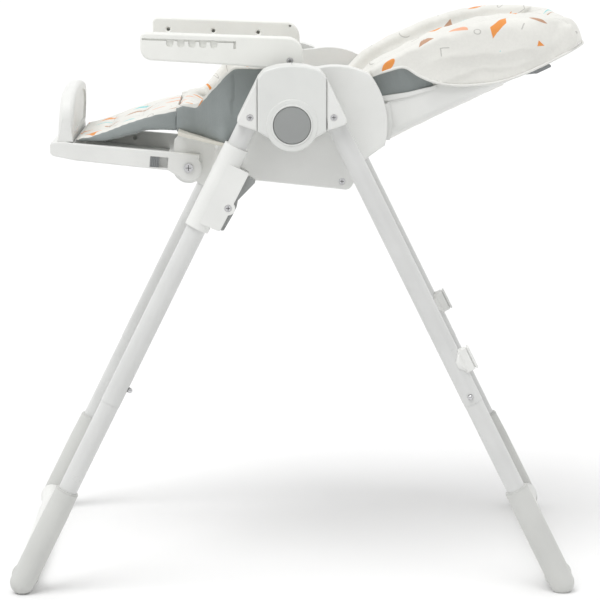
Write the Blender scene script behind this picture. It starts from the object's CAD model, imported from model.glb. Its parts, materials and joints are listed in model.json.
import json
import math
import random
import bpy
import bmesh
import numpy as np
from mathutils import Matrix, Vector, noise
from mathutils.bvhtree import BVHTree


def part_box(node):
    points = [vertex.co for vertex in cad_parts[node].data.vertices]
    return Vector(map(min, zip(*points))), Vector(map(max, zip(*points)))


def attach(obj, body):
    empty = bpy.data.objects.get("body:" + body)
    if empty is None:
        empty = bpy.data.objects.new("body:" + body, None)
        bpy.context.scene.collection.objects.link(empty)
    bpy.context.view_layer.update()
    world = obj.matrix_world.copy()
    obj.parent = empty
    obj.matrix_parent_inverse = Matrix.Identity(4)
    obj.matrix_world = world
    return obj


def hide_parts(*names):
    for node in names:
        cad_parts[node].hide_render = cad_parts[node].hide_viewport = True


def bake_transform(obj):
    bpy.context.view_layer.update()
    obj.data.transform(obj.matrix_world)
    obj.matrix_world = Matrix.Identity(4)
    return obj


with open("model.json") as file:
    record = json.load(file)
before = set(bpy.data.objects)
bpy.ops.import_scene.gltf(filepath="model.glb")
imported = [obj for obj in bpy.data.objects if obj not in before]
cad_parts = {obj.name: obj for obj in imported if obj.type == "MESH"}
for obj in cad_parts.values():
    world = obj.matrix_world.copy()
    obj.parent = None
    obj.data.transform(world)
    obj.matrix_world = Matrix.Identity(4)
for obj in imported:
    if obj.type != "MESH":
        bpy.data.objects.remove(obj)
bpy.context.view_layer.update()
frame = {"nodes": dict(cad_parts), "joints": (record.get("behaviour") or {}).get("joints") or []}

# Baby high chair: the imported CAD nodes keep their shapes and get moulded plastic, painted tube and
# steel materials; the cushions, cover fold, piping, webbing and buckle are made here.  Metres, and the
# child faces -X.

JOINTS = {j["name"]: j for j in frame["joints"]}
PIVOT = Vector(JOINTS["backrest_recline"]["pos_m"])
RECLINE = math.radians(25.4)            # backrest above the horizontal at rest
MM = 0.001
BACKDROP = 1.0                          # brightness of the world at the horizon and, nearly, of the floor
SOFT_EDGE = 0.0008                      # every moulded edge is shaded as rounded by this much


# ---------------------------------------------------------------- node trees
class Graph:
    """Writes one node tree: values or sockets may be given for any input."""

    def __init__(self, tree):
        self.tree = tree

    def put(self, socket, value):
        if isinstance(value, bpy.types.NodeSocket):
            self.tree.links.new(value, socket)
        else:
            socket.default_value = value

    def node(self, kind, inputs=None, **settings):
        made = self.tree.nodes.new(kind)
        for key, value in settings.items():
            setattr(made, key, value)
        for key, value in (inputs or {}).items():
            self.put(made.inputs[key], value)
        return made

    def math(self, operation, *values):
        made = self.node("ShaderNodeMath", operation=operation)
        for socket, value in zip(made.inputs, values):
            self.put(socket, value)
        return made.outputs[0]

    def vector(self, operation, *values):
        made = self.node("ShaderNodeVectorMath", operation=operation)
        for socket, value in zip(made.inputs, values):
            self.put(socket, value)
        return made.outputs[0]

    def minus(self, a, b):
        return self.math("SUBTRACT", a, b)

    def negative(self, value):
        return self.math("MULTIPLY", value, -1.0)

    def size(self, value):
        return self.math("ABSOLUTE", value)

    def larger(self, a, b):
        return self.math("MAXIMUM", a, b)

    def scaled(self, value, factor):
        made = self.node("ShaderNodeVectorMath", operation="SCALE")
        self.put(made.inputs[0], value if isinstance(value, bpy.types.NodeSocket) else value[:3])
        self.put(made.inputs["Scale"], factor)
        return made.outputs[0]

    def mix(self, factor, a, b):
        made = self.node("ShaderNodeMix", data_type="RGBA")
        self.put(made.inputs[0], factor)
        self.put(made.inputs[6], a)
        self.put(made.inputs[7], b)
        return made.outputs[2]

    def spread(self, value, low, high, to_low, to_high):
        made = self.node("ShaderNodeMapRange", {0: value, 1: low, 2: high, 3: to_low, 4: to_high})
        return made.outputs[0]

    def noise(self, where, scale, detail=2.0, roughness=0.5):
        made = self.node("ShaderNodeTexNoise", {"Vector": where, "Scale": scale, "Detail": detail,
                                                "Roughness": roughness})
        return made.outputs[0]

    def below(self, value, limit, edge):
        """1 where value is under limit, with a soft edge."""
        return self.spread(value, limit - edge, limit + edge, 1.0, 0.0)

    def past_edge(self, value):
        """1 where value, in metres, is above zero."""
        return self.spread(value, -0.0004, 0.0004, 0.0, 1.0)

    def bump(self, height, strength, distance, normal=None):
        inputs = {"Height": height, "Strength": strength, "Distance": distance}
        if normal is not None:
            inputs["Normal"] = normal
        return self.node("ShaderNodeBump", inputs).outputs[0]


def material(name):
    made = bpy.data.materials.new(name)
    made.use_nodes = True
    graph = Graph(made.node_tree)
    shader = made.node_tree.nodes["Principled BSDF"]
    where = graph.node("ShaderNodeTexCoord").outputs["Object"]
    return made, graph, shader, where


def rgba(r, g, b):
    return (r, g, b, 1.0)


def shade(colour, factor):
    return rgba(*(min(1.0, c * factor) for c in colour[:3]))


def moulded(name, colour, roughness, grain, coat=0.0):
    """Moulded or painted surface: soft edges, faint mottling, fine orange peel."""
    made, graph, shader, where = material(name)
    mottle = graph.noise(where, 14.0, 3.0)
    tint = graph.mix(graph.spread(mottle, 0.35, 0.65, 0.0, 1.0), shade(colour, 0.965), shade(colour, 1.02))
    graph.put(shader.inputs["Base Color"], tint)
    smudge = graph.noise(where, 38.0, 4.0, 0.6)
    graph.put(shader.inputs["Roughness"], graph.spread(smudge, 0.3, 0.7, roughness - 0.05, roughness + 0.07))
    soft = graph.node("ShaderNodeBevel", {"Radius": SOFT_EDGE}, samples=4).outputs[0]
    peel = graph.noise(where, 900.0, 2.0)
    graph.put(shader.inputs["Normal"], graph.bump(peel, grain, 0.00012, soft))
    shader.inputs["Coat Weight"].default_value = coat
    shader.inputs["Coat Roughness"].default_value = 0.15
    shader.inputs["Specular IOR Level"].default_value = 0.45
    return made


def steel(name, colour, roughness):
    """Turned steel with fine brushing, dark in its recesses."""
    made, graph, shader, where = material(name)
    stretched = graph.vector("MULTIPLY", where, (1.0, 14.0, 1.0))
    brushed = graph.noise(stretched, 420.0, 3.0)
    hollow = graph.node("ShaderNodeAmbientOcclusion", {"Distance": 0.0025}, samples=6).outputs["AO"]
    bright = graph.mix(brushed, shade(colour, 0.8), shade(colour, 1.1))
    open_to_light = graph.spread(hollow, 0.72, 0.97, 0.0, 1.0)
    graph.put(shader.inputs["Base Color"], graph.mix(open_to_light, shade(colour, 0.04), bright))
    graph.put(shader.inputs["Roughness"], graph.spread(brushed, 0.3, 0.7, roughness - 0.08, roughness + 0.1))
    shader.inputs["Metallic"].default_value = 1.0
    graph.put(shader.inputs["Normal"], graph.bump(brushed, 0.25, 0.0001))
    return made


# colours of the cover's print
CREAM = rgba(0.765, 0.76, 0.72)
GREY_CLOTH = rgba(0.29, 0.318, 0.316)
ORANGE = rgba(0.78, 0.30, 0.075)
TEAL = rgba(0.20, 0.62, 0.63)
TAN = rgba(0.50, 0.30, 0.20)
SALMON = rgba(0.82, 0.42, 0.27)
INK = rgba(0.34, 0.33, 0.31)
PRINT_U, PRINT_V = 0.36, 0.30           # the print repeats after this far, along and across
PRINT_CELL = 0.060                      # one bold shape to each cell, with a fine line drawing beside it
PRINT_EDGE = 0.00035                    # half the soft edge of a printed shape
LINE = 0.0008                           # half the width of a fine line
BOLD = [("slab", 0.018, 0.0070), ("wedge", 0.013, 0.014), ("oval", 0.013, 0.0060), ("dome", 0.015, 0.011),
        ("oval", 0.014, 0.0045)]        # kind and half sizes
FINE = [("arc", 0.013, LINE), ("vee", 0.009, LINE), ("ring", 0.0045, LINE), ("bar", 0.008, LINE)]


def print_shapes():
    """A plain scatter of geometric shapes over a jittered grid: kind, place, half sizes, turn, colour."""
    draw = random.Random(11)
    shapes = []
    for row in range(round(PRINT_V / PRINT_CELL)):
        for column in range(round(PRINT_U / PRINT_CELL)):
            u = (column + 0.5 * (row % 2)) * PRINT_CELL
            v = row * PRINT_CELL
            kind, a, b = draw.choice(BOLD)
            ink = (ORANGE, TEAL, TAN, SALMON)[(column + 2 * row + draw.randrange(2)) % 4]
            size = draw.uniform(0.75, 1.15)
            shapes.append((kind, u + draw.uniform(-0.008, 0.008), v + draw.uniform(-0.008, 0.008),
                           a * size, b * size, draw.uniform(-40.0, 40.0) + 180.0 * draw.randrange(2), ink))
            kind, a, b = draw.choice(FINE)
            shapes.append((kind, u + 0.5 * PRINT_CELL + draw.uniform(-0.006, 0.006),
                           v + 0.3 * PRINT_CELL + draw.uniform(-0.008, 0.008), a, b,
                           draw.uniform(0.0, 360.0), INK))
    return shapes


def ellipse(graph, size_x, size_y, a, b):
    """Distance past the edge of an ellipse with half sizes a and b."""
    square_x = graph.math("POWER", graph.math("DIVIDE", size_x, a), 2.0)
    square_y = graph.math("POWER", graph.math("DIVIDE", size_y, b), 2.0)
    far = graph.math("SQRT", graph.math("ADD", square_x, square_y))
    return graph.math("MULTIPLY", graph.minus(far, 1.0), b)


def circle_line(graph, x, y, radius, half_width):
    """Distance past the edges of a drawn circle."""
    squares = graph.math("ADD", graph.math("MULTIPLY", x, x), graph.math("MULTIPLY", y, y))
    return graph.minus(graph.size(graph.minus(graph.math("SQRT", squares), radius)), half_width)


def shape_distance(graph, kind, x, y, a, b):
    """Distance past the edge of a printed shape, negative inside it."""
    size_x, size_y = graph.size(x), graph.size(y)
    if kind == "slab":        # parallelogram
        slanted = graph.size(graph.math("MULTIPLY_ADD", y, 1.1, x))
        return graph.larger(graph.minus(slanted, a), graph.minus(size_y, b))
    if kind == "wedge":       # triangle, its point along +x
        slope = graph.math("MULTIPLY_ADD", x, b / (2 * a), size_y)
        return graph.larger(graph.minus(slope, b / 2), graph.minus(graph.negative(x), a))
    if kind == "oval":
        return ellipse(graph, size_x, size_y, a, b)
    if kind == "dome":        # half of an ellipse
        return graph.larger(ellipse(graph, size_x, size_y, a, b), graph.negative(y))
    if kind == "ring":
        return circle_line(graph, x, y, a, b)
    if kind == "arc":
        line = graph.larger(circle_line(graph, x, y, a, b), graph.minus(size_y, a * 0.75))
        return graph.larger(line, graph.negative(x))
    if kind == "vee":
        line = graph.minus(graph.size(graph.minus(y, size_x)), b * 1.4)
        return graph.larger(line, graph.minus(size_x, a))
    return graph.larger(graph.minus(size_x, a), graph.minus(size_y, b))    # bar


def print_group():
    """Node group: the cover's geometric print from a (along, across) coordinate in metres."""
    tree = bpy.data.node_groups.new("cover_print", "ShaderNodeTree")
    tree.interface.new_socket("Place", in_out="INPUT", socket_type="NodeSocketVector")
    tree.interface.new_socket("Color", in_out="OUTPUT", socket_type="NodeSocketColor")
    graph = Graph(tree)
    place = graph.node("NodeGroupInput").outputs[0]
    wobble = graph.node("ShaderNodeTexNoise", {"Vector": place, "Scale": 160.0, "Detail": 1.0}).outputs[1]
    wobble = graph.scaled(graph.vector("SUBTRACT", wobble, (0.5, 0.5, 0.5)), 0.0012)
    split = graph.node("ShaderNodeSeparateXYZ", {0: graph.vector("ADD", place, wobble)})
    colour = CREAM
    for kind, u, v, a, b, turn, ink in print_shapes():
        du = graph.math("WRAP", graph.minus(split.outputs[0], u), PRINT_U / 2, -PRINT_U / 2)
        dv = graph.math("WRAP", graph.minus(split.outputs[1], v), PRINT_V / 2, -PRINT_V / 2)
        c, s = math.cos(math.radians(turn)), math.sin(math.radians(turn))
        x = graph.math("MULTIPLY_ADD", du, c, graph.math("MULTIPLY", dv, s))
        y = graph.math("MULTIPLY_ADD", dv, c, graph.math("MULTIPLY", du, -s))
        mask = graph.below(shape_distance(graph, kind, x, y, a, b), 0.0, PRINT_EDGE)
        if ink is INK:
            mask = graph.math("MULTIPLY", mask, 0.6)
        colour = graph.mix(mask, colour, ink)
    graph.put(graph.node("NodeGroupOutput").inputs[0], colour)
    return tree


WEAVE = 4200.0                          # radians per metre: a thread every 1.5 mm
STITCH_AWAY = 0.0035                    # the stitches run beside the seam
STITCH_PITCH = 0.0048
STITCH_LENGTH = 0.0032


def cloth_material(name, printed=True, plain=CREAM, seams=True):
    """Woven cover cloth.  Reads the point attributes place (print coordinate, and metres past the
    print's edge), grey (metres past the edge of the grey side cloth), seam (metres to the nearest
    seam) and run (metres along it)."""
    made, graph, shader, where = material(name)
    place = graph.node("ShaderNodeAttribute", attribute_name="place").outputs["Vector"]
    if printed:
        group = graph.node("ShaderNodeGroup", node_tree=bpy.data.node_groups["cover_print"])
        graph.put(group.inputs[0], place)
        grey = graph.node("ShaderNodeAttribute", attribute_name="grey").outputs["Fac"]
        past_print = graph.node("ShaderNodeSeparateXYZ", {0: place}).outputs[2]
        base = graph.mix(graph.past_edge(past_print), group.outputs[0], CREAM)
        base = graph.mix(graph.past_edge(grey), base, GREY_CLOTH)
    else:
        base = plain
    threads = graph.vector("MULTIPLY", where, (WEAVE, WEAVE, WEAVE))
    cut = graph.node("ShaderNodeSeparateXYZ", {0: threads})
    warp = graph.math("SINE", graph.math("ADD", cut.outputs[0], cut.outputs[2]))
    weft = graph.math("SINE", graph.math("SUBTRACT", cut.outputs[1], cut.outputs[2]))
    cloth = graph.math("MULTIPLY", warp, weft)
    slub = graph.noise(where, 240.0, 3.0)
    mottle = graph.noise(where, 11.0, 3.0)
    threading = graph.spread(cloth, -1.0, 1.0, -0.025, 0.02)
    tone = graph.math("ADD", graph.spread(mottle, 0.3, 0.7, 0.955, 1.02), threading)
    tone = graph.math("ADD", tone, graph.spread(slub, 0.3, 0.7, -0.02, 0.02))
    base = graph.scaled(base, tone)
    height = graph.math("MULTIPLY_ADD", slub, 0.6, graph.math("MULTIPLY", cloth, 0.3))
    normal = graph.bump(height, 0.45, 0.0003)
    if seams:
        seam = graph.node("ShaderNodeAttribute", attribute_name="seam").outputs["Fac"]
        run = graph.node("ShaderNodeAttribute", attribute_name="run").outputs["Fac"]
        line = graph.below(graph.size(seam), 0.0005, 0.0004)
        beside = graph.below(graph.size(graph.minus(seam, STITCH_AWAY)), 0.00045, 0.0002)
        dash = graph.below(graph.math("PINGPONG", run, STITCH_PITCH / 2), STITCH_LENGTH / 2, 0.0002)
        stitch = graph.math("MULTIPLY", beside, dash)
        base = graph.mix(graph.math("MULTIPLY", line, 0.45), base, rgba(0.10, 0.10, 0.10))
        base = graph.mix(graph.math("MULTIPLY", stitch, 0.55), base, rgba(0.86, 0.85, 0.82))
        normal = graph.bump(graph.minus(stitch, line), 0.7, 0.0006, normal)
    graph.put(shader.inputs["Base Color"], base)
    graph.put(shader.inputs["Roughness"], graph.spread(slub, 0.3, 0.7, 0.62, 0.8))
    graph.put(shader.inputs["Normal"], normal)
    shader.inputs["Sheen Weight"].default_value = 0.15
    shader.inputs["Sheen Roughness"].default_value = 0.5
    shader.inputs["Specular IOR Level"].default_value = 0.3
    return made


WEB_WIDTH = 0.025                       # harness webbing


def webbing_material():
    """Woven harness ribbon: ribs across, a darker line near each edge."""
    made, graph, shader, where = material("webbing")
    place = graph.node("ShaderNodeAttribute", attribute_name="place").outputs["Vector"]
    cut = graph.node("ShaderNodeSeparateXYZ", {0: place})
    rib = graph.math("SINE", graph.math("MULTIPLY", cut.outputs[0], 3600.0))
    slant = graph.math("MULTIPLY", cut.outputs[0], 2600.0)
    twill = graph.math("SINE", graph.math("MULTIPLY_ADD", cut.outputs[1], 5200.0, slant))
    edge_line = graph.minus(graph.size(cut.outputs[1]), WEB_WIDTH / 2 - 0.003)
    edge = graph.below(graph.size(edge_line), 0.0006, 0.0003)
    base = graph.mix(graph.spread(rib, -1.0, 1.0, 0.0, 1.0), rgba(0.25, 0.27, 0.27), rgba(0.33, 0.35, 0.35))
    base = graph.mix(graph.math("MULTIPLY", edge, 0.5), base, rgba(0.15, 0.16, 0.16))
    graph.put(shader.inputs["Base Color"], base)
    graph.put(shader.inputs["Roughness"], graph.spread(graph.noise(where, 300.0), 0.3, 0.7, 0.6, 0.78))
    graph.put(shader.inputs["Normal"], graph.bump(graph.math("ADD", rib, twill), 0.5, 0.00025))
    return made


print_group()
WHITE = moulded("white_plastic", rgba(0.755, 0.76, 0.74), 0.42, 0.35)
CAP_WHITE = moulded("white_cover_plastic", rgba(0.70, 0.71, 0.69), 0.34, 0.25)
ARM_WHITE = moulded("armrest_plastic", rgba(0.80, 0.805, 0.77), 0.46, 0.45)
INSIDE = moulded("inner_plastic", rgba(0.66, 0.64, 0.575), 0.5, 0.5)
FOOT = moulded("foot_plastic", rgba(0.58, 0.585, 0.565), 0.45, 0.5)
PAINT = moulded("painted_tube", rgba(0.64, 0.645, 0.635), 0.32, 0.2, coat=0.4)
GREY = moulded("grey_plastic", rgba(0.30, 0.31, 0.305), 0.45, 0.6)
LEVER_GREY = moulded("lever_plastic", rgba(0.25, 0.26, 0.265), 0.5, 0.7)
STEEL = steel("screw_steel", rgba(0.62, 0.62, 0.63), 0.28)
COVER = cloth_material("cover_cloth")
PIPING = cloth_material("piping_cloth", printed=False, plain=rgba(0.76, 0.76, 0.73), seams=False)
WEBBING = webbing_material()

FINISHES = [
    (("hub_cap",), CAP_WHITE),
    (("front_foot", "rear_foot"), FOOT),
    (("armrest",), ARM_WHITE),
    (("seat_pan",), INSIDE),
    (("front_leg", "rear_leg"), PAINT),
    (("fold_button", "height_lever"), GREY),
    (("recline_lever", "legrest_knob", "buckle"), LEVER_GREY),
    (("snap_buttons", "screws", "bolts", "springs", "pins"), STEEL),
]
for name, node in frame["nodes"].items():
    chosen = WHITE
    for words, finish in FINISHES:
        if any(word in name for word in words):
            chosen = finish
    node.data.materials.clear()
    node.data.materials.append(chosen)


# ---------------------------------------------------------------- shape helpers
def lean(t, w, y=0.0):
    """A point of the backrest: t along it from the recline axis, w off it towards the child."""
    c, s = math.cos(RECLINE), math.sin(RECLINE)
    return Vector((PIVOT.x + t * c - w * s, y, PIVOT.z + t * s + w * c))


def unlean(points):
    """The reverse of lean, for an array of points: their t and w."""
    c, s = math.cos(RECLINE), math.sin(RECLINE)
    dx, dz = points[:, 0] - PIVOT.x, points[:, 2] - PIVOT.z
    return dx * c + dz * s, -dx * s + dz * c


def curve(points):
    """Piecewise straight function through (mm, mm) points, in metres."""
    xs, ys = (np.array(v, float) * MM for v in zip(*points))
    return lambda x: np.interp(x, xs, ys)


def coords(mesh):
    co = np.zeros(len(mesh.vertices) * 3)
    mesh.vertices.foreach_get("co", co)
    return co.reshape(-1, 3)


def normals(mesh):
    no = np.zeros(len(mesh.vertices) * 3)
    mesh.vertices.foreach_get("normal", no)
    return no.reshape(-1, 3)


def set_coords(mesh, co):
    mesh.vertices.foreach_set("co", np.ascontiguousarray(co).ravel())
    mesh.update()


def point_attribute(mesh, name, values):
    values = np.asarray(values, float)
    kind = "FLOAT_VECTOR" if values.ndim == 2 else "FLOAT"
    layer = mesh.attributes.new(name, kind, "POINT")
    layer.data.foreach_set("vector" if values.ndim == 2 else "value", np.ascontiguousarray(values).ravel())


def link(name, mesh):
    made = bpy.data.objects.new(name, mesh)
    bpy.context.scene.collection.objects.link(made)
    return made


def bake(piece):
    """Apply the piece's modifiers."""
    graph = bpy.context.evaluated_depsgraph_get()
    mesh = bpy.data.meshes.new_from_object(piece.evaluated_get(graph))
    piece.modifiers.clear()
    piece.data = mesh
    mesh.name = piece.name
    return mesh


def smooth_shaded(mesh):
    mesh.polygons.foreach_set("use_smooth", [True] * len(mesh.polygons))


def mesh_piece(name, verts, faces, finish):
    mesh = bpy.data.meshes.new(name)
    mesh.from_pydata([tuple(v) for v in verts], [], faces)
    mesh.update()
    mesh.materials.append(finish)
    smooth_shaded(mesh)
    return link(name, mesh)


def skin(path_count, ring):
    """Faces of a closed form swept along a path, its two end faces included."""
    faces = []
    for i in range(path_count - 1):
        for k in range(ring):
            m = (k + 1) % ring
            faces.append((i * ring + k, i * ring + m, (i + 1) * ring + m, (i + 1) * ring + k))
    faces.append(tuple(reversed(range(ring))))
    faces.append(tuple((path_count - 1) * ring + k for k in range(ring)))
    return faces


def tube(name, path, radius, finish, sides=10):
    """Round cord along a path of points; place runs along it."""
    count = len(path)
    verts, place = [], []
    run = 0.0
    up = Vector((0.0, 0.0, 1.0))
    for i, p in enumerate(path):
        before, after = path[max(0, i - 1)], path[min(count - 1, i + 1)]
        along = (after - before).normalized()
        side = along.cross(up)
        side = side.normalized() if side.length > 1e-4 else Vector((1.0, 0.0, 0.0))
        top = side.cross(along)
        run += (p - before).length
        for k in range(sides):
            a = 2 * math.pi * k / sides
            verts.append(p + (side * math.cos(a) + top * math.sin(a)) * radius)
            place.append((run, a * radius, 0.0))
    made = mesh_piece(name, verts, skin(count, sides), finish)
    point_attribute(made.data, "place", np.array(place))
    return made


def smooth_path(points, step=0.004):
    """Catmull-Rom line through the points, in even steps."""
    last = len(points) - 1
    line = []
    for i in range(last):
        p0, p1, p2, p3 = points[max(0, i - 1)], points[i], points[i + 1], points[min(last, i + 2)]
        parts = max(2, int((p2 - p1).length / step))
        for k in range(parts):
            f = k / parts
            line.append(0.5 * ((2 * p1) + (p2 - p0) * f + (2 * p0 - 5 * p1 + 4 * p2 - p3) * f * f
                               + (3 * p1 - p0 - 3 * p2 + p3) * f * f * f))
    line.append(points[-1].copy())
    return line


# ---------------------------------------------------------------- cushions
SHRINK = 0.0015                         # each cushion starts this much inside its solid
SINK = 0.0005                           # and may end this much inside it
SLIDE = 0.0015                          # its cloth may slip this far along the surface
CLOTH_FRAMES = 20
FILL = -0.05                            # attribute value well inside a printed or white area
PAST = 0.01                             # and well past its edge


def box_into(bm, corners):
    """Add a closed hexahedron to a bmesh: four corners at one end and four at the other."""
    made = [bm.verts.new(c) for c in corners]
    for f in ((0, 1, 2, 3), (7, 6, 5, 4), (0, 4, 5, 1), (1, 5, 6, 2), (2, 6, 7, 3), (3, 7, 4, 0)):
        bm.faces.new([made[i] for i in f])


def relaxed(mesh, co, rounds):
    """Smooths positions over the mesh's edges without shrinking them."""
    edges = np.zeros(len(mesh.edges) * 2, np.int64)
    mesh.edges.foreach_get("vertices", edges)
    a, b = edges.reshape(-1, 2).T
    count = np.bincount(np.concatenate([a, b]), minlength=len(co))[:, None]
    co = co.copy()
    for _ in range(rounds):
        for factor in (0.55, -0.58):
            total = np.zeros_like(co)
            for k in range(3):
                total[:, k] = np.bincount(a, co[b, k], len(co)) + np.bincount(b, co[a, k], len(co))
            co += factor * (total / count - co)
    return co


def cushion(name, node, fillers=(), voxel=0.005, rounds=8, swell=0.008, lengthen=0.0):
    """A padded form from a CAD solid: remeshed, rounded, then swollen by a cloth simulation whose
    movement along the surface's normal is kept between a slight sinking and swell."""
    bm = bmesh.new()
    bm.from_mesh(frame["nodes"][node].data)
    bm.transform(frame["nodes"][node].matrix_world)
    if lengthen:
        end = (min if lengthen < 0 else max)(v.co.x for v in bm.verts)
        for v in bm.verts:
            if abs(v.co.x - end) < 0.001:
                v.co.x += lengthen
    for corners in fillers:
        box_into(bm, corners)
    bmesh.ops.recalc_face_normals(bm, faces=bm.faces)
    mesh = bpy.data.meshes.new(name)
    bm.to_mesh(mesh)
    bm.free()
    piece = link(name, mesh)
    piece.modifiers.new("remesh", "REMESH").mode = "VOXEL"
    piece.modifiers["remesh"].voxel_size = voxel
    mesh = bake(piece)
    set_coords(mesh, relaxed(mesh, coords(mesh), rounds))
    outward = normals(mesh)
    start = coords(mesh) - outward * SHRINK
    set_coords(mesh, start)
    cloth = piece.modifiers.new("cloth", "CLOTH")
    cloth.settings.quality = 4
    cloth.settings.mass = 0.25
    cloth.settings.tension_stiffness = 12
    cloth.settings.compression_stiffness = 8
    cloth.settings.shear_stiffness = 6
    cloth.settings.bending_stiffness = 0.6
    cloth.settings.use_pressure = True
    cloth.settings.uniform_pressure_force = 4.0
    cloth.settings.effector_weights.gravity = 0.0
    cloth.collision_settings.use_collision = False
    for number in range(CLOTH_FRAMES):
        bpy.context.scene.frame_set(number + 1)
    mesh = bake(piece)
    bpy.context.scene.frame_set(1)
    move = coords(mesh) - start
    lift = (move * outward).sum(axis=1, keepdims=True)
    slide = move - lift * outward
    far = np.linalg.norm(slide, axis=1, keepdims=True)
    slide *= np.minimum(1.0, SLIDE / np.maximum(far, 1e-9))
    lift = relaxed(mesh, np.repeat(np.clip(lift, -SINK, swell), 3, axis=1), 2)[:, :1]
    set_coords(mesh, start + outward * (lift + SHRINK) + slide)
    divide = piece.modifiers.new("divide", "SUBSURF")
    divide.levels = 1
    divide.render_levels = 1
    mesh = bake(piece)
    smooth_shaded(mesh)
    mesh.materials.clear()
    mesh.materials.append(COVER)
    mesh.polygons.foreach_set("material_index", [0] * len(mesh.polygons))
    return piece


def crease(co, no, distance, depth, width):
    """Pull the surface in along lines where distance is zero."""
    fall = np.exp(-(distance / width) ** 2)
    return co - no * (fall * depth)[:, None]


def wrinkles(co, no, amount, scale, stretch, seed):
    """Low soft folds: directional noise along the normal."""
    lift = np.empty(len(co))
    for i, p in enumerate(co):
        lift[i] = noise.noise(Vector((p[0] * stretch[0], p[1] * stretch[1], p[2] * stretch[2])) * scale
                              + Vector((seed, seed * 0.7, 0.0)))
    return co + no * (lift * amount)[:, None]


def channel_distance(values, places):
    """Distance to the nearest of the channels sewn across at these places, given in mm."""
    return np.min([np.abs(values - place * MM) for place in places], axis=0)


def write_cloth(piece, place, grey, seam, run):
    """Store what the cover's material reads."""
    mesh = piece.data
    point_attribute(mesh, "place", place)
    point_attribute(mesh, "grey", grey)
    point_attribute(mesh, "seam", seam)
    point_attribute(mesh, "run", run)


def surface(piece):
    """A tree for casting rays onto a piece."""
    bm = bmesh.new()
    bm.from_mesh(piece.data)
    tree = BVHTree.FromBMesh(bm)
    bm.free()
    return tree


# --- backrest: outlines along and off the backrest, in mm
BOLSTER_TOP = curve([(60, 12), (93, 17), (146, 30), (235, 31), (291, 23), (343, 8.5), (391, -14.5),
                     (424, -38), (437.5, -57)])
CUSHION_TOP = curve([(50, -50), (424, -41), (437, -57)])
# the lower edge of the cover, and how far the ridge along its face lies below its top
COVER_LIP_POINTS = [(97, 14), (126, 15), (152, 12), (176, 7), (186, -10), (205, -32), (231, -50), (254, -61),
                    (288, -73), (320, -78.5), (360, -80), (400, -79)]
COVER_LIP = curve([(60, 14)] + COVER_LIP_POINTS + [(437, -76)])
RIDGE_DEPTH = curve([(150, 52), (205, 35), (232, 36), (271, 43), (316, 50), (376, 46), (431, 24)])
BACK_CHANNELS = (120, 180, 240, 300, 360)
BOLSTER_IN = 0.118                      # inner face of a bolster, from the middle
CREST = 0.158                           # the seam along its top
FACE_OUT = 0.1738                       # its outer face
SHELL_SIDE = (0.1604, 0.1656)           # the shell's side wall, inside and outside
BOLSTER_OUTER = 0.150                   # beyond this from the middle is a bolster's outer face
OVER_SHELL = 0.1625                     # and beyond this the cover lies outside the shell
HANG_START, HANG_END = 0.105, 0.345     # between these it hangs outside the shell
GUSSET_END = 0.205                      # grey side cloth from the seat to here
FULL_START, FULL_LENGTH = 0.190, 0.080  # the outer face fills out from here, over this length
LEVER_START = 0.300                     # the lever under the head end begins here
HEAD_START, HEAD_LENGTH = 0.385, 0.045  # the head end grows fuller from here, over this length


def rim_filler(side):
    """Closes the slot that the cover's solid leaves for the shell's rim."""
    outline = [(0.190, -0.022), (0.320, -0.072), (0.425, -0.072), (0.425, -0.045)]
    return [lean(t, w, side * y) for y in (SHELL_SIDE[0] - 0.003, SHELL_SIDE[1] + 0.002) for t, w in outline]


def head_filler():
    """Fills out the head end between the bolsters."""
    corners = []
    for t, low, high in ((0.420, -0.072, -0.052), (0.435, -0.070, -0.056)):
        corners += [lean(t, low, -0.12), lean(t, high, -0.12), lean(t, high, 0.12), lean(t, low, 0.12)]
    return corners


def fit_to_shell(t, w, across, normal):
    """Keep the cover outside the shell down to its lip, inside it below, and clear of the lever."""
    lip = COVER_LIP(t)
    hangs = (across > OVER_SHELL) & (t > HANG_START) & (t < HANG_END)
    faces_down = (normal @ np.array(lean(0, -1) - lean(0, 0))) > 0.15
    w = np.where(hangs & ((w < lip) | (faces_down & (w < lip + 0.0045))), lip, w)
    w = np.where(t > LEVER_START, np.maximum(w, lip + 0.001), w)
    tucked = (w < lip - 0.0015) & (t < HANG_END - 0.030)
    # the outer face is full down to a soft ridge, and below it slopes in towards the lip
    past_ridge = BOLSTER_TOP(t) - w - RIDGE_DEPTH(t)
    below_ridge = np.clip(past_ridge / 0.020, 0.0, 1.0)
    fullness = np.clip((t - FULL_START) / FULL_LENGTH, 0.0, 1.0)
    outermost = FACE_OUT + 0.0045 * fullness - 0.0060 * below_ridge ** 0.8 * fullness
    outermost += 0.0016 * fullness * np.exp(-(past_ridge / 0.006) ** 2)
    across = np.where(tucked, np.minimum(across, SHELL_SIDE[0] - 0.0008), np.minimum(across, outermost))
    # the head end is full, and its face stands nearly square to the backrest
    end = np.clip((t - HEAD_START) / HEAD_LENGTH, 0.0, 1.0)
    return t + 0.003 * end, w + 0.006 * end * np.clip((w + 0.078) / 0.012, 0.0, 1.0), across


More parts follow.
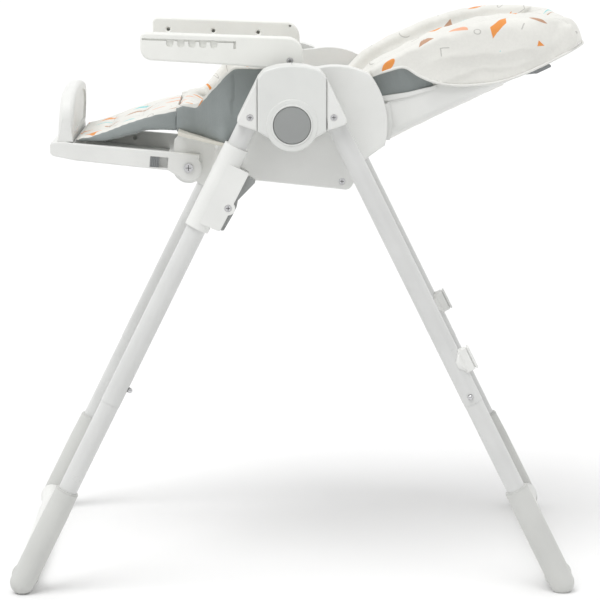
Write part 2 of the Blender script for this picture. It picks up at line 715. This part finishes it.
def make_backrest():
    fillers = [rim_filler(-1), rim_filler(1), head_filler()]
    piece = cushion("backrest_cushion", "backrest_pad", fillers, swell=0.008)
    mesh = piece.data
    co, no = coords(mesh), normals(mesh)
    t, w = unlean(co)
    across = np.abs(co[:, 1])
    # sewn channels across the middle, a seam at the foot of each bolster and one along its crest
    centre = across < BOLSTER_IN - 0.006
    flat = centre & (w < CUSHION_TOP(t) + 0.02) & (w > CUSHION_TOP(t) - 0.02)
    channel = np.where(flat, channel_distance(t, BACK_CHANNELS), 1.0)
    foot = np.where(w < CUSHION_TOP(t) + 0.02, np.abs(across - BOLSTER_IN), 1.0)
    crest = np.where(w > BOLSTER_TOP(t) - 0.014, np.abs(across - CREST), 1.0)
    co = crease(co, no, channel, 0.0040, 0.009)
    co = crease(co, no, foot, 0.0030, 0.006)
    co = crease(co, no, crest, 0.0010, 0.003)
    co = wrinkles(co, no, 0.0012, 24.0, (1.0, 0.8, 1.6), 3.1)
    co = wrinkles(co, no, 0.0006, 60.0, (1.3, 0.6, 1.0), 8.4)
    t, w = unlean(co)
    lip = COVER_LIP(t)
    t, w, across = fit_to_shell(t, w, np.abs(co[:, 1]), no)
    c, s = math.cos(RECLINE), math.sin(RECLINE)
    co[:, 0] = PIVOT.x + t * c - w * s
    co[:, 2] = PIVOT.z + t * s + w * c
    co[:, 1] = np.sign(co[:, 1]) * across
    set_coords(mesh, co)
    # print coordinate: along, and the way across the surface from the bolster's crest
    outside = across > BOLSTER_OUTER
    depth = BOLSTER_TOP(t) - w
    along = t + np.where((t > 0.425) & (across < BOLSTER_OUTER), np.maximum(0.0, depth), 0.0)
    fold = across + np.where(outside, np.maximum(depth, 0.0), -np.maximum(depth, 0.0))
    middle = BOLSTER_TOP(t) - CUSHION_TOP(t)
    fold = np.where(co[:, 1] < 0, fold, -2 * middle - fold)
    past_print = np.where(outside, depth - RIDGE_DEPTH(t), FILL)
    grey = np.where(outside & (t < GUSSET_END), lip - w - 0.0005, FILL)
    grey = np.where((t < 0.088) & (w < 0.0), PAST, grey)
    seam = np.minimum(np.minimum(channel, foot), crest)
    run = np.where(channel < np.minimum(foot, crest), across, t)
    write_cloth(piece, np.stack([along, fold, past_print], axis=1), grey, seam, run)
    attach(piece, "backrest")
    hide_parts("backrest_pad")
    return piece


# --- seat and calf, from the recline axis, in mm
WING_TOP = curve([(-184, 19.5), (-156, 24.6), (-147, 30), (-134.7, 46), (-111, 72), (-97, 82), (-62, 82)])
PAD_HALF = curve([(-184, 132), (-157, 158), (-118, 184), (60, 184)])
CALF_TOP = curve([(-338, -27), (-317, -23), (-285, -12.5), (-264, -4), (-238, 4.5), (-212, 11), (-185.6, 15)])
SEAT_TOP = curve([(-184, 15), (-120, 2), (0, -24), (40, -28)])
WING_END = -0.026                       # the seat's wings are forward of this
WING_WALL = 0.022                       # and this thick
LINER_INSIDE = 0.1862                   # the cushion stays inside the side liners
WING_OUTSIDE = 0.1885                   # forward of the liners its wings may be a little wider
SEAT_CHANNELS = (-150, -105, -55, -5)
CALF_CHANNELS = (-290, -240)
CALF_HALF = 0.130
PRINT_START = (0.31, 0.012)             # the seat's and calf's print is shifted by this, along and across
PAD_JOIN = -0.1846                      # where the seat and calf cushions meet


def make_seat():
    piece = cushion("seat_cushion", "seat_pad", swell=0.006, lengthen=-0.012)
    mesh = piece.data
    co, no = coords(mesh), normals(mesh)
    x, z = co[:, 0] - PIVOT.x, co[:, 2] - PIVOT.z
    across = np.abs(co[:, 1])
    half = PAD_HALF(x)
    winged = x < WING_END
    inner = half - WING_WALL
    flat = (across < inner - 0.008) & (no[:, 2] > 0.5)
    channel = np.where(flat, channel_distance(x, SEAT_CHANNELS), 1.0)
    low_inside = winged & (z < SEAT_TOP(x) + 0.018) & (no[:, 2] > -0.2)
    foot = np.where(low_inside, np.abs(across - inner), 1.0)
    co = crease(co, no, channel, 0.0035, 0.008)
    co = crease(co, no, foot, 0.0025, 0.006)
    # the side cloth hangs in upright folds
    sides = np.clip((across - half + 0.012) / 0.01, 0.0, 1.0) * np.clip((0.070 - z) / 0.03, 0.0, 1.0)
    folded = wrinkles(co, no, 0.0042, 34.0, (2.0, 0.3, 0.55), 5.3)
    co = co + (folded - co) * sides[:, None]
    co = wrinkles(co, no, 0.0009, 55.0, (1.0, 0.7, 1.0), 1.9)
    # kept between the side liners, and against the calf cushion in front
    widest = np.where((x > -0.100) | (z < 0.0), LINER_INSIDE, WING_OUTSIDE)
    co[:, 1] = np.sign(co[:, 1]) * np.minimum(np.abs(co[:, 1]), widest)
    co[:, 0] = np.maximum(co[:, 0], PIVOT.x + PAD_JOIN)
    set_coords(mesh, co)
    depth = WING_TOP(x) - z
    outside = across > half - 0.011
    fold = across + np.where(outside, np.maximum(depth, 0.0), -np.maximum(depth, 0.0))
    middle = WING_TOP(x) - SEAT_TOP(x)
    fold = np.where(co[:, 1] < 0, fold, -2 * middle - fold)
    place = np.stack([x + PRINT_START[0], fold + PRINT_START[1], np.full(len(x), FILL)], axis=1)
    grey = np.where(outside & winged, across + depth - half - 0.0035, FILL)
    grey = np.where((x < -0.181) & (z < 0.004), PAST, grey)
    write_cloth(piece, place, grey, np.minimum(channel, foot), np.where(channel < foot, across, x))
    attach(piece, "seat")
    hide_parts("seat_pad")
    return piece


def make_calf():
    piece = cushion("calf_cushion", "calf_pad", voxel=0.0038, rounds=6, swell=0.0025, lengthen=0.012)
    mesh = piece.data
    co, no = coords(mesh), normals(mesh)
    x, z = co[:, 0] - PIVOT.x, co[:, 2] - PIVOT.z
    across = np.abs(co[:, 1])
    flat = (across < CALF_HALF - 0.012) & (no[:, 2] > 0.4)
    channel = np.where(flat, channel_distance(x, CALF_CHANNELS), 1.0)
    co = crease(co, no, channel, 0.0030, 0.008)
    co = wrinkles(co, no, 0.0010, 45.0, (1.0, 0.6, 1.4), 7.7)
    co[:, 0] = np.minimum(co[:, 0], PIVOT.x + PAD_JOIN - 0.0006)
    # its top dips a little between the join and the foot end
    co[:, 2] -= 0.0035 * np.clip(no[:, 2], 0.0, 1.0) * np.clip((PAD_JOIN - x) / 0.05, 0.0, 1.0)
    set_coords(mesh, co)
    depth = np.maximum(CALF_TOP(x) - z, 0.0)
    side = across > CALF_HALF - 0.014
    fold = across + np.where(side, depth, 0.0)
    print_across = PRINT_START[1] - fold * np.sign(co[:, 1])
    place = np.stack([x + PRINT_START[0] + PRINT_U, print_across, np.full(len(x), FILL)], axis=1)
    grey = np.where(side, across + depth - CALF_HALF - 0.0015, FILL)
    grey = np.where(no[:, 2] < -0.35, PAST, grey)
    grey = np.where(x < -0.332, -PAST, grey)
    write_cloth(piece, place, grey, channel, across)
    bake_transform(piece)
    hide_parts("calf_pad")


BACKREST = make_backrest()
SEAT = make_seat()
make_calf()


# ---------------------------------------------------------------- piping and webbing
PIPING_RADIUS = 0.0021
HEAD_TURN = 0.0525                      # radius of the piping round the head end's corners
WEB_THICK = 0.0015
WEB_LIFT = 0.0018                       # from the cushion to the middle of the webbing
DOWN = Vector((0.0, 0.0, -1.0))


def make_piping():
    """Corded edge of the cover: down one side, round the head and back along the other side."""
    tree = surface(BACKREST)
    side = []
    for t, w in COVER_LIP_POINTS[:-1]:
        # just above the lip the cover's face is met from outside, and the cord lies on it there
        outside = lean(t * MM, w * MM + 0.005, -0.25)
        hit = tree.ray_cast(outside, Vector((0.0, 1.0, 0.0)))[0]
        face = hit.y if hit else -0.1702
        side.append(lean(t * MM, w * MM + 0.0006, min(face, -0.1690) + 0.0004))
    turn = [lean(0.382 + HEAD_TURN * math.sin(a), -0.0785, -0.1165 - HEAD_TURN * math.cos(a))
            for a in (0.35, 0.7, 1.05, 1.4)]
    near = side + turn
    far = [Vector((p.x, -p.y, p.z)) for p in reversed(near)]
    line = smooth_path(near + [lean(0.4355, -0.0785, 0.0)] + far)
    for _ in range(4):
        line = [line[0]] + [(a + 2 * b + c) / 4 for a, b, c in zip(line, line[1:], line[2:])] + [line[-1]]
    made = tube("cover_piping", line, PIPING_RADIUS, PIPING)
    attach(made, "backrest")


def ribbon(name, path, body):
    """Flat webbing along a path of (point, normal), with rounded edges."""
    verts, place = [], []
    profile = [(-0.5, -0.35), (-0.5, 0.35), (-0.46, 0.5), (0.46, 0.5), (0.5, 0.35), (0.5, -0.35),
               (0.46, -0.5), (-0.46, -0.5)]
    run = 0.0
    for i, (p, n) in enumerate(path):
        before = path[max(0, i - 1)][0]
        after = path[min(len(path) - 1, i + 1)][0]
        side = (after - before).normalized().cross(n).normalized()
        run += (p - before).length
        for a, b in profile:
            verts.append(p + side * (a * WEB_WIDTH) + n * (b * WEB_THICK))
            place.append((run, a * WEB_WIDTH, 0.0))
    made = mesh_piece(name, verts, skin(len(path), len(profile)), WEBBING)
    point_attribute(made.data, "place", np.array(place))
    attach(made, body)
    return made


def draped(tree, points, direction):
    """Cast each point onto a cushion, lift it by half the webbing, and smooth the path."""
    path = []
    for p in points:
        hit, normal, _, _ = tree.ray_cast(p - direction * 0.2, direction)
        if hit is None:
            continue
        path.append((hit + normal * WEB_LIFT, normal))
    for _ in range(6):
        middle = [((a[0] + 2 * b[0] + c[0]) / 4, (a[1] + 2 * b[1] + c[1]).normalized())
                  for a, b, c in zip(path, path[1:], path[2:])]
        path = [path[0]] + middle + [path[-1]]
    return path


# --- harness straps
SHOULDER_TOP, SHOULDER_LENGTH = 0.300, 0.190       # from the recline axis, down the backrest
SHOULDER_APART = (0.0505, 0.0425)       # from the middle, at the top and at the bottom
LAP_REACH = (0.024, 0.150)              # from the middle, at the buckle and at the side
LAP_PLACE = 0.061                       # forward of the recline axis
CROTCH_PLACE, CROTCH_LENGTH = 0.112, 0.032         # its front end, and its length up to the buckle


def between(low, high, parts):
    """Even steps from low to high, both ends in."""
    return [low + (high - low) * k / parts for k in range(parts + 1)]


def make_straps():
    back_tree, seat_tree = surface(BACKREST), surface(SEAT)
    into_back = -(lean(0, 1) - lean(0, 0)).normalized()
    for side, hand in ((-1, "left"), (1, "right")):
        ts = between(SHOULDER_TOP, SHOULDER_TOP - SHOULDER_LENGTH, 40)
        points = [lean(t, 0.05, side * y) for t, y in zip(ts, between(*SHOULDER_APART, 40))]
        ribbon("shoulder_strap_" + hand, draped(back_tree, points, into_back), "backrest")
        lap = [Vector((PIVOT.x - LAP_PLACE, side * y, PIVOT.z + 0.05)) for y in between(*LAP_REACH, 30)]
        ribbon("lap_strap_" + hand, draped(seat_tree, lap, DOWN), "seat")
    xs = between(PIVOT.x - CROTCH_PLACE, PIVOT.x - CROTCH_PLACE + CROTCH_LENGTH, 12)
    crotch = [Vector((x, 0.0, PIVOT.z + 0.05)) for x in xs]
    strap = ribbon("crotch_webbing", draped(seat_tree, crotch, DOWN), "seat")
    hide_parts("shoulder_straps")
    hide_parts("lap_straps")
    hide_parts("crotch_strap")


# --- buckle
BUCKLE_LENGTH = 0.044
BUCKLE_WIDTH = (0.046, 0.036)           # at the lap straps and at the crotch strap
BUCKLE_THICK = 0.014
BUTTON_RADIUS = 0.0125


def make_buckle():
    """Rounded harness buckle with a raised release button, lying on the seat."""
    tree = surface(SEAT)
    low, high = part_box("buckle")
    middle = (low + high) / 2
    hit, normal, _, _ = tree.ray_cast(Vector((middle.x, 0.0, high.z + 0.1)), DOWN)
    bm = bmesh.new()
    bmesh.ops.create_cube(bm, size=1.0)
    for v in bm.verts:
        v.co.x *= BUCKLE_LENGTH
        v.co.y *= BUCKLE_WIDTH[0] if v.co.x > 0 else BUCKLE_WIDTH[1]
        v.co.z *= BUCKLE_THICK
    bmesh.ops.bevel(bm, geom=bm.edges[:], offset=0.0045, segments=4, affect="EDGES", profile=0.6)
    button = bmesh.ops.create_cone(bm, cap_ends=True, segments=32, radius1=BUTTON_RADIUS,
                                   radius2=BUTTON_RADIUS - 0.001, depth=0.003)
    bmesh.ops.translate(bm, verts=button["verts"], vec=(0.0, 0.0, BUCKLE_THICK / 2 + 0.0008))
    mesh = bpy.data.meshes.new("harness_buckle")
    bm.to_mesh(mesh)
    bm.free()
    mesh.materials.append(LEVER_GREY)
    made = link("harness_buckle", mesh)
    made.data.transform(normal.to_track_quat("Z", "Y").to_matrix().to_4x4())
    shift = hit + normal * (BUCKLE_THICK / 2 + 0.0015)
    for v in made.data.vertices:
        v.co += shift
    soft = made.modifiers.new("soft", "BEVEL")
    soft.width = 0.0005
    soft.segments = 2
    smooth_shaded(bake(made))
    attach(made, "seat")
    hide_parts("buckle")


# --- cover fold
FOLD_ROWS, FOLD_COLUMNS = 16, 30        # from the seat to the backrest, and across
FOLD_HALF = 0.150                       # half its width
FOLD_THICK = 0.005
FOLD_END = 0.094                        # where it meets the backrest, from the recline axis
FOLD_DEPTH = 0.012                      # how far it sags


def fold_surface(seat_rear):
    """Upper face of the cover fold, and its print coordinates, column by column."""
    seat_tree, back_tree = surface(SEAT), surface(BACKREST)
    into_back = -(lean(0, 1) - lean(0, 0)).normalized()
    top, place = [], []
    for i in range(FOLD_COLUMNS + 1):
        y = FOLD_HALF * (2 * i / FOLD_COLUMNS - 1)
        drop = Vector((seat_rear - 0.016, y, PIVOT.z + 0.06))
        start = seat_tree.ray_cast(drop, DOWN)[0] or Vector((drop.x, y, PIVOT.z - 0.03))
        end = back_tree.ray_cast(lean(FOLD_END, 0.03, y), into_back)[0]
        if end is None or abs(y) > BOLSTER_IN - 0.006:
            end = lean(FOLD_END, -0.046, y)            # sewn in under the bolster
        reach = (end - start).length
        for k in range(FOLD_ROWS + 1):
            f = k / FOLD_ROWS
            p = start.lerp(end, f)
            p.z += 0.0015 - FOLD_DEPTH * math.sin(math.pi * f) + 0.0012 * math.sin(9 * f + 30 * y)
            top.append(p)
            place.append((PRINT_START[0] + (start.x - PIVOT.x) + f * reach, PRINT_START[1] + y, FILL))
    return top, place


def make_cover_fold():
    """The cover's thin quilted stretch between the seat and the backrest, which opens as it rises."""
    seat_rear = max(v.co.x for v in SEAT.data.vertices)
    top, place = fold_surface(seat_rear)
    count, ring = len(top), FOLD_ROWS + 1
    verts = top + [p - Vector((0, 0, FOLD_THICK)) for p in top]
    faces = []
    for i in range(FOLD_COLUMNS):
        for k in range(FOLD_ROWS):
            a, b = i * ring + k, (i + 1) * ring + k
            faces.append((a, b, b + 1, a + 1))
            faces.append((count + a, count + a + 1, count + b + 1, count + b))
    rim = ([k for k in range(FOLD_ROWS)] + [i * ring + FOLD_ROWS for i in range(FOLD_COLUMNS)]
           + [FOLD_COLUMNS * ring + k for k in range(FOLD_ROWS, 0, -1)]
           + [i * ring for i in range(FOLD_COLUMNS, 0, -1)])
    for a, b in zip(rim, rim[1:] + rim[:1]):
        faces.append((a, b, count + b, count + a)[::-1])
    piece = mesh_piece("cover_fold", verts, faces, COVER)
    total = 2 * count
    write_cloth(piece, np.array(place + place), np.full(total, FILL), np.ones(total), np.zeros(total))
    bm = bmesh.new()
    bm.from_mesh(piece.data)
    bmesh.ops.recalc_face_normals(bm, faces=bm.faces)
    bm.to_mesh(piece.data)
    bm.free()
    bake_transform(piece)


make_piping()
make_straps()
make_cover_fold()
make_buckle()


# ---------------------------------------------------------------- stage, light and camera
FLOOR_REACH = 60.0                      # far enough to hide the horizon
LENS = 149.22
CAMERA_PLACE = (-0.0417, -3.866, 1.0532)
CAMERA_PITCH, CAMERA_YAW = math.radians(9.585), math.radians(0.737)


def make_stage():
    corners = [(x * FLOOR_REACH, y * FLOOR_REACH, 0) for x, y in ((-1, -1), (1, -1), (1, 1), (-1, 1))]
    mesh = bpy.data.meshes.new("floor")
    mesh.from_pydata(corners, [], [(0, 1, 2, 3)])
    made, graph, shader, where = material("pale_floor")
    speck = graph.noise(where, 5.0, 2.0)
    graph.put(shader.inputs["Base Color"], graph.mix(speck, rgba(0.84, 0.84, 0.84), rgba(0.86, 0.86, 0.86)))
    shader.inputs["Roughness"].default_value = 0.9
    mesh.materials.append(made)
    link("floor", mesh)


def make_light():
    """A pale room that is dimmer behind the camera, and a broad soft sun from above and in front."""
    world = bpy.data.worlds.new("studio")
    bpy.context.scene.world = world
    world.use_nodes = True
    graph = Graph(world.node_tree)
    back = world.node_tree.nodes["Background"]
    towards = graph.node("ShaderNodeSeparateXYZ", {0: graph.node("ShaderNodeTexCoord").outputs["Generated"]})
    behind = graph.spread(towards.outputs[1], -0.7, 0.4, 0.0, 1.0)
    low = graph.mix(behind, rgba(0.44, 0.44, 0.44), rgba(BACKDROP, BACKDROP, BACKDROP))
    rise = graph.spread(towards.outputs[2], 0.12, 0.75, 0.0, 1.0)
    graph.put(back.inputs["Color"], graph.mix(rise, low, rgba(0.92, 0.92, 0.92)))
    back.inputs["Strength"].default_value = 1.0
    data = bpy.data.lights.new("sun", "SUN")
    data.energy = 1.4
    data.angle = math.radians(35)
    made = bpy.data.objects.new("sun", data)
    bpy.context.scene.collection.objects.link(made)
    made.rotation_euler = Vector((0.28, 0.42, -1.0)).to_track_quat("-Z", "Y").to_euler()


def make_camera():
    data = bpy.data.cameras.new("camera")
    data.lens = LENS
    data.sensor_width = 36.0
    made = bpy.data.objects.new("camera", data)
    bpy.context.scene.collection.objects.link(made)
    made.location = CAMERA_PLACE
    made.rotation_euler = (math.pi / 2 - CAMERA_PITCH, 0.0, -CAMERA_YAW)
    data.clip_end = 200.0
    bpy.context.scene.camera = made
    bpy.context.scene.view_settings.view_transform = "Standard"


make_stage()
make_light()
make_camera()
